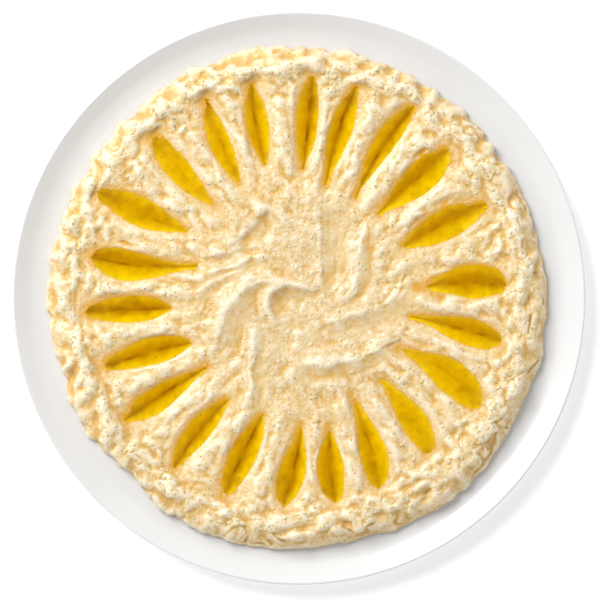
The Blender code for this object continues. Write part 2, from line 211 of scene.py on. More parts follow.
CURVE = 0.90  # 1 gives a groove a round bottom, less a creased one
MENISCUS = 0.10


def hill(q):
    """Cross-section of a groove: 1 on its bottom line, 0 on the ridges beside it."""
    q = np.clip(np.sqrt(q * q + 0.001) - 0.01, 0, 1)
    return 0.5 * (1 + np.cos(PI * q**CURVE))


def groove_tables(number):
    """Along a groove, in steps of 0.25 mm from 26 mm before its pool to 14 mm after it: half the
    width of the pool, the distances to the ridges on its left and right, and how much of its
    depth is there."""
    row, blunt = GROOVES[number], BLUNT[number]
    length, width, widest = row[3], row[4], row[5]
    a = np.arange(-26.0, length + 14.0, 0.25)
    u = np.clip(a / length, 1e-6, 1 - 1e-6)
    share = np.sin(PI * u ** (math.log(0.5) / math.log(widest)))
    share = share ** np.where(u < widest, 0.8, 0.8 - 0.42 * blunt)
    half = width / 2 * share
    radius = row[1] + a - length / 2
    n = len(GROOVES)
    left = math.radians((GROOVES[(number + 1) % n][0] - row[0]) % 360) / 2
    right = math.radians((row[0] - GROOVES[number - 1][0]) % 360) / 2
    reach = [np.maximum(np.maximum(radius * gap * 0.98, half * 1.45), 4.0) for gap in (left, right)]
    before, after = np.maximum(0, -a), np.maximum(0, a - length)
    fade = 0.60 * np.exp(-before / 2.6) + 0.40 * np.exp(-before / 16.0)
    fade = fade * (1 - smooth(0.0, 6.0, after))
    k = np.exp(-((np.arange(-8, 9) * 0.25 / 0.8) ** 2))
    k /= k.sum()

    def soften(v):
        return np.convolve(np.pad(v, 8, mode="edge"), k, mode="valid")

    return a, half, soften(reach[0]), soften(reach[1]), soften(fade)


GROOVE_TABLES = [groove_tables(number) for number in range(len(GROOVES))]


def level(row):
    """Height of a pool's surface over the plate's floor: the wide ones are fuller."""
    return OIL_LEVEL + 0.5 * float(smooth(12.6, 16.0, row[4]))


def groove_place(row):
    bearing, tilt = math.radians(row[0]), math.radians(row[2])
    mid = np.array([math.cos(bearing), math.sin(bearing)]) * row[1] - LIGHT * 0.9
    axis = np.array([math.cos(bearing + tilt), math.sin(bearing + tilt)])
    return mid, axis, np.array([-axis[1], axis[0]])


def groove_at(row, x, y):
    """Distance along a groove from its pool's inner tip, and across from its middle line."""
    mid, axis, side = groove_place(row)
    length, bow = row[3], row[6]
    dx, dy = x - mid[0], y - mid[1]
    along = dx * axis[0] + dy * axis[1] + length / 2
    u = np.clip(along / length, 0, 1)
    return along, dx * side[0] + dy * side[1] - bow * (1 - (2 * u - 1) ** 2)


def carve(row, table, along, off, stand):
    """How deep a groove cuts into a surface that stands so far over the oil."""
    a, half, left, right, fade = table
    half, left, right = (np.interp(along, a, v) for v in (half, left, right))
    wide = (left + right) / 2
    deep = np.maximum(stand - MENISCUS, 0.2) / np.maximum(hill(half / wide), 0.2)
    lean = 0.06 * float(groove_place(row)[2] @ LIGHT) * half
    q = np.where(off > lean, (off - lean) / (left - lean), (lean - off) / (right + lean))
    return deep * np.interp(along, a, fade) * hill(q)


def stroke_line(points, steps=7):
    """A smooth line through the given points."""
    q = np.array(points, float)
    q = np.concatenate([[2 * q[0] - q[1]], q, [2 * q[-1] - q[-2]]])
    line = []
    for i in range(1, len(q) - 2):
        a, b, c, d = q[i - 1], q[i], q[i + 1], q[i + 2]
        for t in np.arange(steps) / steps:
            line.append(b + 0.5 * t * (c - a + t * (2 * a - 5 * b + 4 * c - d + t * (3 * (b - c) + d - a))))
    return np.array(line + [q[-2]])


def swirl(x, y):
    """Height that the swirl's strokes add, and how smooth the spoon left the paste, 0..1."""
    total = np.zeros_like(x)
    sleek = np.zeros_like(x)
    for number, (points, side, crest, before, fall, over, width) in enumerate(STROKES):
        line = stroke_line(points)
        best = np.full_like(x, 1e9)
        signed = np.zeros_like(x)
        share = np.zeros_like(x)
        for i in range(len(line) - 1):
            ex, ey = line[i + 1] - line[i]
            px, py = x - line[i, 0], y - line[i, 1]
            t = np.clip((px * ex + py * ey) / (ex * ex + ey * ey), 0, 1)
            qx, qy = px - t * ex, py - t * ey
            near = np.hypot(qx, qy)
            closer = near < best
            best = np.where(closer, near, best)
            signed = np.where(closer, np.copysign(near, (ex * py - ey * px) * side), signed)
            share = np.where(closer, (i + t) / (len(line) - 1), share)
        ends = smooth(0.0, 0.20, share) * smooth(0.0, 0.24, 1 - share)
        taper = ends * (1 + 0.35 * perlin(in_space(share * 4.0, number * 7.3 + 0 * share, 0.5), 23))
        signed = signed + 1.1 * perlin(in_space(x / 9.0, y / 9.0, number * 3.7), 21)
        signed = signed + 0.5 * perlin(in_space(x / 4.0, y / 4.0, number * 2.3), 24)
        into = np.maximum(signed, 0)
        # A broad slope climbs to the crest and a shorter, hollow one falls away behind it
        climb = crest * np.clip(1 + signed / before, 0, 1.6) ** 1.35
        descend = (crest + fall) * np.exp(-(into / over)) - fall * (1 - smooth(0.45 * width, width, into))
        descend = descend + (crest + fall) / over * np.maximum(-signed, 0)
        rise = -0.16 * np.logaddexp(-climb / 0.16, -descend / 0.16)
        ripple = 0.12 * perlin(in_space(signed / 1.6, share * 3.0, number * 5.1), 22)
        ripple = ripple * smooth(0, 2, into) * smooth(width, width * 0.5, into)
        comb = 0.34 * perlin(in_space(signed / 2.1, share * 4.0, number * 9.7), 25)
        comb = comb * smooth(before * 1.5, before * 0.6, -signed) * smooth(1.0, 0.0, into) * min(1.0, crest / 1.5)
        total += taper * 1.08 * rise + ends * (ripple + comb)
        sleek = np.maximum(sleek, smooth(0.8, 2.5, into) * smooth(width, width * 0.55, into) * ends)
    return total, sleek


def dip_top(x, y, edge):
    """Height of the dip's upper surface over the plate's floor, and how smooth it is."""
    r = np.hypot(x, y)
    s = r / edge
    z = DIP_TOP + RIDGE_RISE * smooth(0.32, 0.62, s) + CREST_RISE * smooth(0.84, 0.93, s)
    sleek = np.zeros_like(x)
    inner = r < 78.0
    strokes, spooned = swirl(x[inner], y[inner])
    fade = 1 - smooth(0.42, 0.62, s[inner])
    z[inner] += strokes * fade
    sleek[inner] = spooned * fade
    # Broad unevenness, more of it on the rim
    z += perlin(in_space(x / 17.0, y / 17.0, 3.1), 1) * (0.30 + 0.35 * smooth(0.7, 0.9, s))
    z += perlin(in_space(x / 9.0, y / 9.0, 7.7), 2) * (0.25 + 0.45 * smooth(0.80, 0.93, s))
    # The grooves are pressed into it, and the paste between them stays as rounded ridges
    soft = 0.6
    total = np.ones_like(x)
    for row, table in zip(GROOVES, GROOVE_TABLES):
        along, off = groove_at(row, x, y)
        near = (along > table[0][0]) & (along < table[0][-1]) & (np.abs(off) < 22)
        total[near] += np.exp(carve(row, table, along[near], off[near], z[near] - level(row)) / soft) - 1
    z -= soft * np.log(total)
    return z, sleek


# ---------------------------------------------------------------- mesh helpers
def mesh_object(name, points, faces, material, smooth_shade=True):
    """An object from points (n, 3) in metres and faces of one size (m, k)."""
    faces = np.asarray(faces, np.int32)
    mesh = bpy.data.meshes.new(name)
    mesh.vertices.add(len(points))
    mesh.vertices.foreach_set("co", np.asarray(points, np.float32).ravel())
    k = faces.shape[1]
    mesh.loops.add(faces.size)
    mesh.loops.foreach_set("vertex_index", faces.ravel())
    mesh.polygons.add(len(faces))
    mesh.polygons.foreach_set("loop_start", np.arange(0, faces.size, k, dtype=np.int32))
    mesh.polygons.foreach_set("loop_total", np.full(len(faces), k, np.int32))
    mesh.update(calc_edges=True)
    mesh.validate()
    mesh.polygons.foreach_set("use_smooth", np.full(len(mesh.polygons), smooth_shade))
    mesh.materials.append(material)
    made = bpy.data.objects.new(name, mesh)
    bpy.context.scene.collection.objects.link(made)
    return made


def number_attribute(obj, name, values):
    made = obj.data.attributes.new(name, "FLOAT", "POINT")
    made.data.foreach_set("value", np.asarray(values, np.float32))


def vector_attribute(obj, name, values):
    made = obj.data.attributes.new(name, "FLOAT_VECTOR", "POINT")
    made.data.foreach_set("vector", np.asarray(values, np.float32).ravel())


def colour_attribute(obj, name, values):
    made = obj.data.attributes.new(name, "FLOAT_COLOR", "POINT")
    rgba = np.concatenate([values, np.ones((len(values), 1))], 1)
    made.data.foreach_set("color", rgba.astype(np.float32).ravel())


# ---------------------------------------------------------------- materials
class Nodes:
    """Short names for building a node tree."""

    def __init__(self, name):
        self.material = bpy.data.materials.new(name)
        self.material.use_nodes = True
        self.tree = self.material.node_tree
        self.shader = self.tree.nodes["Principled BSDF"]
        self.where = self.tree.nodes.new("ShaderNodeTexCoord").outputs["Object"]

    def add(self, kind, **inputs):
        node = self.tree.nodes.new(kind)
        for key, value in inputs.items():
            self.put(node.inputs[key.replace("_", " ")], value)
        return node

    def put(self, socket, value):
        if isinstance(value, bpy.types.NodeSocket):
            self.tree.links.new(value, socket)
        else:
            socket.default_value = value

    def noise(self, size_mm, detail=3.0, rough=0.5, warp=0.0, where=None):
        node = self.add("ShaderNodeTexNoise", Vector=where or self.where)
        node.inputs["Scale"].default_value = 1000.0 / size_mm
        node.inputs["Detail"].default_value = detail
        node.inputs["Roughness"].default_value = rough
        node.inputs["Distortion"].default_value = warp
        return node.outputs["Fac"]

    def spots(self, size_mm, where=None, jitter=1.0):
        node = self.add("ShaderNodeTexVoronoi", Vector=where or self.where)
        node.inputs["Scale"].default_value = 1000.0 / size_mm
        node.inputs["Randomness"].default_value = jitter
        return node.outputs["Distance"], node.outputs["Color"]

    def band(self, value, low, high, to_low=0.0, to_high=1.0):
        node = self.add("ShaderNodeMapRange", Value=value)
        node.inputs["From Min"].default_value = low
        node.inputs["From Max"].default_value = high
        node.inputs["To Min"].default_value = to_low
        node.inputs["To Max"].default_value = to_high
        return node.outputs["Result"]

    def math(self, what, a, b=0.0):
        node = self.tree.nodes.new("ShaderNodeMath")
        node.operation = what
        self.put(node.inputs[0], a)
        self.put(node.inputs[1], b)
        return node.outputs[0]

    def mix(self, share, a, b, how="MIX"):
        node = self.tree.nodes.new("ShaderNodeMix")
        node.data_type = "RGBA"
        node.blend_type = how
        self.put(node.inputs[0], share)
        self.put(node.inputs[6], a if not isinstance(a, tuple) else (*a, 1.0))
        self.put(node.inputs[7], b if not isinstance(b, tuple) else (*b, 1.0))
        return node.outputs[2]

    def attribute(self, name, output="Fac"):
        node = self.tree.nodes.new("ShaderNodeAttribute")
        node.attribute_name = name
        return node.outputs[output]

    def bump(self, height, distance_mm, strength=1.0, normal=None):
        node = self.add("ShaderNodeBump", Height=height)
        node.inputs["Distance"].default_value = distance_mm * MM
        node.inputs["Strength"].default_value = strength
        if normal is not None:
            self.put(node.inputs["Normal"], normal)
        return node.outputs["Normal"]


def dip_material():
    """Creamy paste with a wet grain and fine brown specks, with painted shade (a darker, warmer colour) in its hollows
    and painted light (a paler colour) on its bumps.
    """
    n = Nodes("baba_ganoush")
    s = n.shader
    painted_relief_shading = n.attribute("painted_relief_shading")
    sleek = n.attribute("sleek")
    film_and_shade = n.attribute("film_and_shade")
    plain = n.math("SUBTRACT", 1.0, n.math("MULTIPLY", sleek, 0.6))
    colour = n.mix(n.band(n.noise(11.0, 3.0), 0.35, 0.65), (0.85, 0.63, 0.305), (0.88, 0.68, 0.36))
    grain = n.noise(2.0, 3.0, 0.6)
    low = n.math("MULTIPLY", n.band(grain, 0.50, 0.36, 0.0, 0.6), plain)
    colour = n.mix(low, colour, (0.80, 0.50, 0.17))
    colour = n.mix(n.math("MULTIPLY", n.attribute("core"), 0.8), colour, (0.94, 0.99, 1.14), "MULTIPLY")
    high = n.math("MULTIPLY", n.band(grain, 0.54, 0.68, 0.0, 0.6), plain)
    colour = n.mix(high, colour, (0.97, 0.88, 0.70))
    # Painted shade: darker, warmer colour where the surface is hollow; painted light: paler colour where it bulges
    colour = n.mix(n.band(painted_relief_shading, 0.0, 0.45, 0.0, 0.9), colour, (0.74, 0.44, 0.10))
    colour = n.mix(n.band(painted_relief_shading, -0.05, -0.50, 0.0, 0.60), colour, (0.98, 0.89, 0.71))
    # Specks of charred skin, some close together and some places bare
    near, tint = n.spots(2.3)
    few = n.band(n.noise(12.0, 2.0), 0.36, 0.60, 0.3, 1.0)
    dark = n.math("MULTIPLY", n.band(near, 0.30, 0.12), few)
    pick = n.add("ShaderNodeSeparateColor", Color=tint).outputs["Red"]
    dark = n.math("MULTIPLY", dark, n.band(pick, 0.60, 0.75))
    colour = n.mix(n.math("MULTIPLY", dark, 0.60), colour, (0.30, 0.17, 0.06))
    # Oil stain round the pools, with painted shade on the banks turned from the light
    colour = n.mix(n.math("MULTIPLY", film_and_shade, 0.92), colour, (0.80, 0.40, 0.02))
    n.put(s.inputs["Base Color"], colour)
    n.put(s.inputs["Roughness"], n.band(n.noise(2.2, 2.0), 0.35, 0.65, 0.34, 0.52))
    height = n.math("MULTIPLY", n.math("SUBTRACT", grain, 0.5), 1.0)
    height = n.math("ADD", height, n.math("MULTIPLY", n.noise(0.75, 2.0, 0.6), 0.30))
    dots, _ = n.spots(1.25)
    height = n.math("SUBTRACT", height, n.math("MULTIPLY", dots, 0.36))
    height = n.math("MULTIPLY", height, n.math("SUBTRACT", 1.0, n.math("MULTIPLY", sleek, 0.55)))
    height = n.math("MULTIPLY", height, n.band(n.attribute("core"), 0.0, 1.0, 0.72, 1.0))
    n.put(s.inputs["Normal"], n.bump(height, 0.60))
    s.inputs["Specular IOR Level"].default_value = 0.5
    n.put(s.inputs["Coat Weight"], n.band(film_and_shade, 0.0, 1.0, 0.42, 0.9))
    s.inputs["Coat Roughness"].default_value = 0.18
    s.inputs["Subsurface Weight"].default_value = 0.35
    s.inputs["Subsurface Radius"].default_value = (1.0, 0.65, 0.3)
    s.inputs["Subsurface Scale"].default_value = 1.6 * MM
    return n.material


def oil_material():
    """Golden oil: the paste under it shows through as a tint that carries painted light and shade, and its level
    surface is glossy.
    """
    n = Nodes("olive_oil")
    s = n.shader
    colour = n.attribute("tint", "Color")
    colour = n.mix(n.band(n.noise(4.0, 3.0), 0.46, 0.70, 0.0, 0.26), colour, (0.46, 0.20, 0.0))
    near, tint = n.spots(2.4)
    pick = n.add("ShaderNodeSeparateColor", Color=tint).outputs["Red"]
    dark = n.math("MULTIPLY", n.band(near, 0.22, 0.10), n.band(pick, 0.80, 0.86))
    colour = n.mix(n.math("MULTIPLY", dark, 0.55), colour, (0.20, 0.08, 0.0))
    n.put(s.inputs["Base Color"], colour)
    n.put(s.inputs["Roughness"], n.band(n.noise(3.0, 1.0), 0.3, 0.7, 0.04, 0.08))
    n.put(s.inputs["Normal"], n.bump(n.noise(5.0, 1.0), 0.05))
    s.inputs["IOR"].default_value = 1.47
    s.inputs["Specular IOR Level"].default_value = 0.5
    return n.material


def plate_material():
    n = Nodes("white_glaze")
    s = n.shader
    colour = n.mix(n.band(n.noise(30.0, 2.0), 0.3, 0.7), (0.80, 0.80, 0.80), (0.82, 0.82, 0.82))
    pin, _ = n.spots(7.0)
    colour = n.mix(n.band(pin, 0.045, 0.02, 0.0, 0.25), colour, (0.80, 0.79, 0.77))
    n.put(s.inputs["Base Color"], colour)
    n.put(s.inputs["Roughness"], n.band(n.noise(12.0, 3.0), 0.3, 0.7, 0.16, 0.24))
    n.put(s.inputs["Normal"], n.bump(n.noise(18.0, 2.0), 0.10))
    s.inputs["Coat Weight"].default_value = 0.5
    s.inputs["Coat Roughness"].default_value = 0.06
    return n.material


def fleck_material():
    n = Nodes("charred_flecks")
    s = n.shader
    colour = n.mix(n.band(n.noise(0.5, 2.0), 0.3, 0.7, 0.0, 0.4), n.attribute("tint", "Color"), (0.45, 0.30, 0.16))
    n.put(s.inputs["Base Color"], colour)
    s.inputs["Roughness"].default_value = 0.5
    n.put(s.inputs["Normal"], n.bump(n.noise(0.3, 1.0), 0.05))
    return n.material


# ---------------------------------------------------------------- plate
def plate_piece():
    slope = math.radians(RIM_SLOPE)
    profile = [(0.0, FLOOR_Z)]
    profile += [(r, float(plate_inside(np.float64(r)))) for r in (20.0, 40.0, 60.0, 80.0, 95.0)]
    reach = PLATE_R - LIP_R
    inner = np.linspace(104.0, reach - LIP_R * math.sin(slope) - 0.1, 26)
    profile += [(float(r), float(plate_inside(r))) for r in inner]
    lip_z = float(plate_inside(np.float64(reach))) - LIP_R / math.cos(slope)
    for a in np.linspace(PI / 2 + slope, -PI / 2 + slope * 0.9, 15):
        profile.append((reach + LIP_R * math.cos(a), lip_z + LIP_R * math.sin(a)))
    for share in np.linspace(0.93, 0.12, 12):
        a = slope * share
        profile.append(
            (
                FLOOR_R + (RIM_BEND + WALL_T) * math.sin(a),
                FLOOR_Z + RIM_BEND * (1 - math.cos(a)) - WALL_T * math.cos(a),
            )
        )
    profile += [(FLOOR_R - 6.0, UNDER_Z + 0.02), (FOOT_OUT + 2.4, UNDER_Z), (FOOT_OUT + 1.2, UNDER_Z - 0.25)]
    profile += [(FOOT_OUT + 0.3, 0.35), (FOOT_OUT - 0.3, 0.0), (FOOT_IN + 0.3, 0.0), (FOOT_IN - 0.3, 0.35)]
    profile += [(FOOT_IN - 1.2, UNDER_Z - 0.25), (FOOT_IN - 2.4, UNDER_Z), (40.0, UNDER_Z), (0.0, UNDER_Z)]
    steps = 240
    turn = np.arange(steps) * 2 * PI / steps
    ring = np.array(profile[1:-1])
    points = [(0, 0, profile[0][1]), (0, 0, profile[-1][1])]
    for r, z in ring:
        points += [(r * c, r * s, z) for c, s in zip(np.cos(turn), np.sin(turn))]
    quads, caps = [], []
    for k in range(len(ring) - 1):
        for j in range(steps):
            a, b = 2 + k * steps + j, 2 + k * steps + (j + 1) % steps
            quads.append((a, a + steps, b + steps, b))
    last = 2 + (len(ring) - 1) * steps
    for j in range(steps):
        caps.append((0, 2 + j, 2 + (j + 1) % steps))
        caps.append((1, last + (j + 1) % steps, last + j))
    triangles = [t for a, b, c, d in quads for t in ((a, b, c), (a, c, d))] + caps
    plate = mesh_object("plate_glazed", np.array(points) * MM, triangles, plate_material())
    plate.data.set_sharp_from_angle(angle=math.radians(50))
    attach(plate, "root")
    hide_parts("plate")
    return plate


# ---------------------------------------------------------------- dip
RINGS = 155


def disc_grid(rings):
    """Ring number and angle of each point of a square grid bent into a disc, and its triangles."""
    i = np.arange(-rings, rings + 1)
    a, b = np.meshgrid(i, i, indexing="xy")
    a, b = a.ravel().astype(float), b.ravel().astype(float)
    ring = np.maximum(np.abs(a), np.abs(b))
    safe_a, safe_b = np.where(a == 0, 1, a), np.where(b == 0, 1, b)
    wide = np.abs(a) >= np.abs(b)
    theta = np.where(
        wide,
        PI / 4 * b / safe_a + np.where(a > 0, 0.0, PI),
        PI / 2 - PI / 4 * a / safe_b + np.where(b > 0, 0.0, PI),
    )
    theta = np.where(ring == 0, 0.0, theta)
    n = 2 * rings + 1
    j, k = np.meshgrid(np.arange(n - 1), np.arange(n - 1), indexing="xy")
    first = (k * n + j).ravel()
    same = ((j - rings + 0.5) * (k - rings + 0.5) > 0).ravel()
    p, q, r, t = first, first + 1, first + n + 1, first + n
    one = np.where(same[:, None], np.stack([p, q, r], 1), np.stack([p, q, t], 1))
    two = np.where(same[:, None], np.stack([p, r, t], 1), np.stack([q, r, t], 1))
    return ring, theta, np.concatenate([one, two])


def edge_profile():
    """For each ring: its share of the outline's radius, and how far down the side wall it is."""
    s = np.linspace(0, 1, 4001)
    t = np.clip((s - EDGE_FROM) / (1 - EDGE_FROM), 0, 1)
    z = 1.4 + 9.8 * (1 - t**2.6) ** 0.78
    r = s * 122
    step = np.hypot(np.diff(r), np.diff(z))
    run = np.concatenate([[0], np.cumsum(step)])
    wall = 2.9
    marks = np.linspace(0, run[-1] + wall, RINGS + 1)
    share = np.interp(marks, run, s)
    down = np.clip((marks - run[-1]) / wall, 0, 1)
    return share, down


def blurred(values, times):
    """Repeated averaging of a grid (n, n, k) with its neighbours."""
    for _ in range(times):
        p = np.pad(values, ((1, 1), (1, 1), (0, 0)), mode="edge")
        values = (
            p[1:-1, 1:-1] * 0.36 + (p[:-2, 1:-1] + p[2:, 1:-1] + p[1:-1, :-2] + p[1:-1, 2:]) * 0.16
        )
    return values


def grid_normals(p):
    """Unit normals of a grid (n, n, 3)."""
    u = np.gradient(p, axis=1)
    v = np.gradient(p, axis=0)
    w = np.cross(u, v)
    return w / np.maximum(np.linalg.norm(w, axis=2, keepdims=True), 1e-9)


def oil_film_and_shade(p, normals):
    """Where a film of oil stains the paste round the pools, with painted shade that reaches high on the banks turned
    from the light.
    """
    wet_and_shaded = np.zeros(len(p))
    # Painted shade: banks that face away from the key light take the stain's colour much higher up
    shade = smooth(0.02, -0.22, normals[:, :2] @ LIGHT)
    ragged = 0.6 * perlin(p / 3.0, 51) + 0.3 * perlin(p / 1.2, 52)
    for row, table in zip(GROOVES, GROOVE_TABLES):
        along, off = groove_at(row, p[:, 0], p[:, 1])
        half = np.interp(along, table[0], table[1])
        over = p[:, 2] - FLOOR_Z - level(row)
        film_with_shade = 0.85 * smooth(1.7, 0.0, over + 0.5 * ragged) * shade + smooth(0.4, 0.05, over + 0.3 * ragged)
        inside = smooth(-2.5, 1.0, along) * (1 - smooth(row[3] - 1.0, row[3] + 2.5, along))
        wet_and_shaded = np.maximum(wet_and_shaded, film_with_shade * inside * smooth(half + 4.5, half + 2.0, np.abs(off)))
    return np.clip(wet_and_shaded, 0, 1)


def dip_piece(material):
    ring, theta, sheet = disc_grid(RINGS)
    share, down = edge_profile()
    k = ring.astype(int)
    s, d = share[k], down[k]
    edge = outline(theta)
    r = edge * s * (1 - (1 - WALL_SHARE) * d)
    x, y = r * np.cos(theta), r * np.sin(theta)
    top, sleek = dip_top(x, y, edge)
    t = np.clip((s - EDGE_FROM) / (1 - EDGE_FROM), 0, 1)
    foot = 1.4 + plate_inside(r) - FLOOR_Z
    z = foot + (top - foot) * (1 - t**2.6) ** 0.78
    z = z * (1 - d) + (plate_inside(r) - FLOOR_Z - 0.5) * d
    z += FLOOR_Z
    n = 2 * RINGS + 1
    p = np.stack([x, y, z], 1)
    grid = p.reshape(n, n, 3)
    up = grid_normals(blurred(grid, 2)).reshape(-1, 3)

    # Relief, moved along the surface's own normal so that the side wall crumbles too
    rim = smooth(0.83, 0.93, s)
    rough = (0.45 + 0.55 * smooth(0.26, 0.46, s)) * (1 - 0.6 * sleek)
    broad = (0.26 + 0.74 * smooth(0.28, 0.50, s)) * (1 - 0.6 * sleek) * (1 - rim)
    drift = np.stack([perlin(p / 12.0, 31), perlin(p / 12.0, 32), perlin(p / 12.0, 33)], 1)
    # Folds and torn layers on the rim, longer along the edge than across it
    folds = np.stack([np.cos(theta) * 122 / 3.4, np.sin(theta) * 122 / 3.4, r + 0.9 * z], 1) + drift * 1.6
    move = rim * (0.55 * billow(folds / 6.0, 11) + 0.22 * perlin(folds / 2.8, 16))
    move += rim * (1.70 * perlin((p + drift * 2) / 6.5, 14) + 0.18 * perlin((p + drift) / 3.2, 34))
    move += rim * (2.05 * perlin((p + drift * 3) / 11.0, 36) + 0.22 * lumps((p + drift) / 3.3, 15))
    # Torn layers: long steps and crevices that run along the edge
    layer = np.stack([np.cos(theta) * 14.0, np.sin(theta) * 14.0, r + 1.3 * z], 1) + drift * 1.2
    line = perlin(layer / 4.2, 37)
    torn = smooth(0.86, 0.94, s) * smooth(-0.25, 0.15, perlin((p + drift) / 9.0, 38))
    move += torn * (0.75 * smooth(-0.12, 0.12, line) - 0.65 * smooth(0.10, 0.0, np.abs(line)))
    # Lumps and hollows that the spoon left, drawn out along the ridges
    run = r - 0.42 * (np.clip(r, 44, 96) - 44)
    bed = np.stack([np.cos(theta) * run, np.sin(theta) * run, z], 1) * 1.12 + drift * 1.5
    patch = smooth(-0.45, 0.35, perlin(p / 15.0, 21))
    belt = 1 + 0.15 * smooth(0.75, 0.82, s) * (1 - smooth(0.86, 0.90, s))
    move += broad * belt * (1.30 * perlin(bed / 5.6, 18) + 0.42 * perlin(bed / 2.9, 35))
    move += broad * belt * 0.60 * patch * lumps(bed / 3.6, 19)
    move += (0.3 + 0.7 * rough) * (1 - rim) * (0.60 + 0.5 * smooth(0.74, 0.84, s)) * perlin(bed / 10.0, 20)
    grit = 0.48 * lumps(p / 1.9 + drift * 0.25, 12) * rough * (1 - 0.4 * smooth(0.46, 0.56, s)) * (1 - 0.10 * rim)
    # Furrows that the spoon drew along the ridges
    ridge = smooth(0.34, 0.5, s) * (1 - smooth(0.80, 0.90, s))
    lanes = np.stack([np.cos(theta) * 20, np.sin(theta) * 20, r / 16.0], 1)
    move += 0.26 * perlin(lanes, 8) * ridge
    # Calmer where the oil stands against the paste
    calm = smooth(1.7, 0.6, top - OIL_LEVEL) * smooth(0.36, 0.46, s) * (1 - smooth(0.88, 0.94, s))
    even = smooth(0.0, 0.55, np.cos(theta + 0.75)) * smooth(0.935, 0.975, s)
    move = move * (1 - 0.90 * calm) * (1 - 0.48 * even) + grit * (1 - 0.55 * calm) * (1 + 0.45 * even)
    # Short splits along the edge, on the sides that face +X and -Y
    seam = np.stack([np.cos(theta) * 16.0, np.sin(theta) * 16.0, r + 1.3 * z], 1) + drift * 1.1
    split = smooth(0.17, 0.0, np.abs(perlin(seam / 2.6, 44))) * smooth(0.0, 0.25, perlin(p / 7.0, 45))
    split *= smooth(0.0, 0.55, np.cos(theta + 0.75)) * smooth(0.915, 0.94, s) * (1 - smooth(0.985, 0.998, s))
    move -= 1.15 * split
    move *= 1 - smooth(0.4, 1.0, d)
    p = p + up * move[:, None]
    # Nothing stands higher than the solid's top
    over = np.maximum(p[:, 2] - 16.5, 0.0)
    p[:, 2] -= over - 0.95 * np.tanh(over / 0.95)

    # How hollow each point is against its surroundings, for painted shade in the colour of hollows and painted light on
    # bumps
    grid = p.reshape(n, n, 3)
    normals = grid_normals(grid)
    fine = ((blurred(grid, 7) - grid) * normals).sum(2)
    coarse = ((blurred(grid, 50) - grid) * normals).sum(2)
    painted_relief_shading = (fine * 1.6 + coarse * 0.30).ravel()
    # More painted shade on the outer side wall and in the splits
    painted_relief_shading += 0.22 * smooth(0.92, 0.98, s) + 0.5 * split
    # A little painted shade along the foot
    border = ring >= RINGS - 4
    painted_relief_shading[border] = 0.1

    # Close it underneath with a fan
    rim_points = np.where(ring == RINGS)[0]
    order = rim_points[np.argsort(theta[rim_points] % (2 * PI))]
    middle = len(p)
    low = float(plate_inside(np.float64(0))) - 0.5
    p = np.concatenate([p, [[0, 0, low]]])
    nxt = np.roll(order, -1)
    fan = np.stack([np.full(len(order), middle), nxt, order], 1)
    triangles = np.concatenate([sheet, fan])
    dip = mesh_object("dip_spread", p * MM, triangles, material)
    number_attribute(dip, "painted_relief_shading", np.append(painted_relief_shading, 0.0))
    number_attribute(dip, "film_and_shade", np.append(oil_film_and_shade(p[:-1], normals.reshape(-1, 3)), 0.0))
    number_attribute(dip, "sleek", np.append(sleek, 0.0))
    number_attribute(dip, "core", np.append(smooth(0.46, 0.30, s), 0.0))
    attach(dip, "root")
    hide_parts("dip")
    return dip, grid, normals, s.reshape(n, n)


# ---------------------------------------------------------------- crumbs and flecks
def ball():
    """A small round mesh: an icosahedron split once."""
    g = (1 + math.sqrt(5)) / 2
    v = [(-1, g, 0), (1, g, 0), (-1, -g, 0), (1, -g, 0), (0, -1, g), (0, 1, g)]
    v += [(0, -1, -g), (0, 1, -g), (g, 0, -1), (g, 0, 1), (-g, 0, -1), (-g, 0, 1)]
    f = [(0, 11, 5), (0, 5, 1), (0, 1, 7), (0, 7, 10), (0, 10, 11), (1, 5, 9), (5, 11, 4), (11, 10, 2), (10, 7, 6), (7, 1, 8)]
    f += [(3, 9, 4), (3, 4, 2), (3, 2, 6), (3, 6, 8), (3, 8, 9), (4, 9, 5), (2, 4, 11), (6, 2, 10), (8, 6, 7), (9, 8, 1)]
    v = [np.array(q) / math.hypot(1, g) for q in v]
    halves = {}

    def half(a, b):
        key = (min(a, b), max(a, b))
        if key not in halves:
            q = v[a] + v[b]
            halves[key] = len(v)
            v.append(q / np.linalg.norm(q))
        return halves[key]

    split = []
    for a, b, c in f:
        ab, bc, ca = half(a, b), half(b, c), half(c, a)
        split += [(a, ab, ca), (b, bc, ab), (c, ca, bc), (ab, bc, ca)]
    return np.array(v), np.array(split)


def frames(normals, spin):
    """Two directions along the surface for each normal, turned by its own angle."""
    helper = np.where(np.abs(normals[:, :1]) < 0.8, [[1.0, 0, 0]], [[0, 1.0, 0]])
    u = np.cross(normals, helper)
    u /= np.linalg.norm(u, axis=1, keepdims=True)
    v = np.cross(normals, u)
    c, s = np.cos(spin)[:, None], np.sin(spin)[:, None]
    return u * c + v * s, v * c - u * s


def pick_points(count, weight, chance, apart):
    """Indices of grid points drawn by weight, none closer together than apart (mm)."""
    flat = weight.ravel() / weight.sum()
    drawn = chance.choice(len(flat), size=count * 3, replace=False, p=flat)
    taken, kept = {}, []
    points = dip_grid.reshape(-1, 3)
    for i in drawn:
        key = tuple((points[i] // apart).astype(int))
        if key not in taken:
            taken[key] = True
            kept.append(i)
        if len(kept) == count:
            break
    return np.array(kept)


def dry():
    """How far each point of the dip is from the oil, 0..1."""
    height = dip_grid[..., 2] - FLOOR_Z - OIL_LEVEL
    return smooth(0.9, 1.7, height)


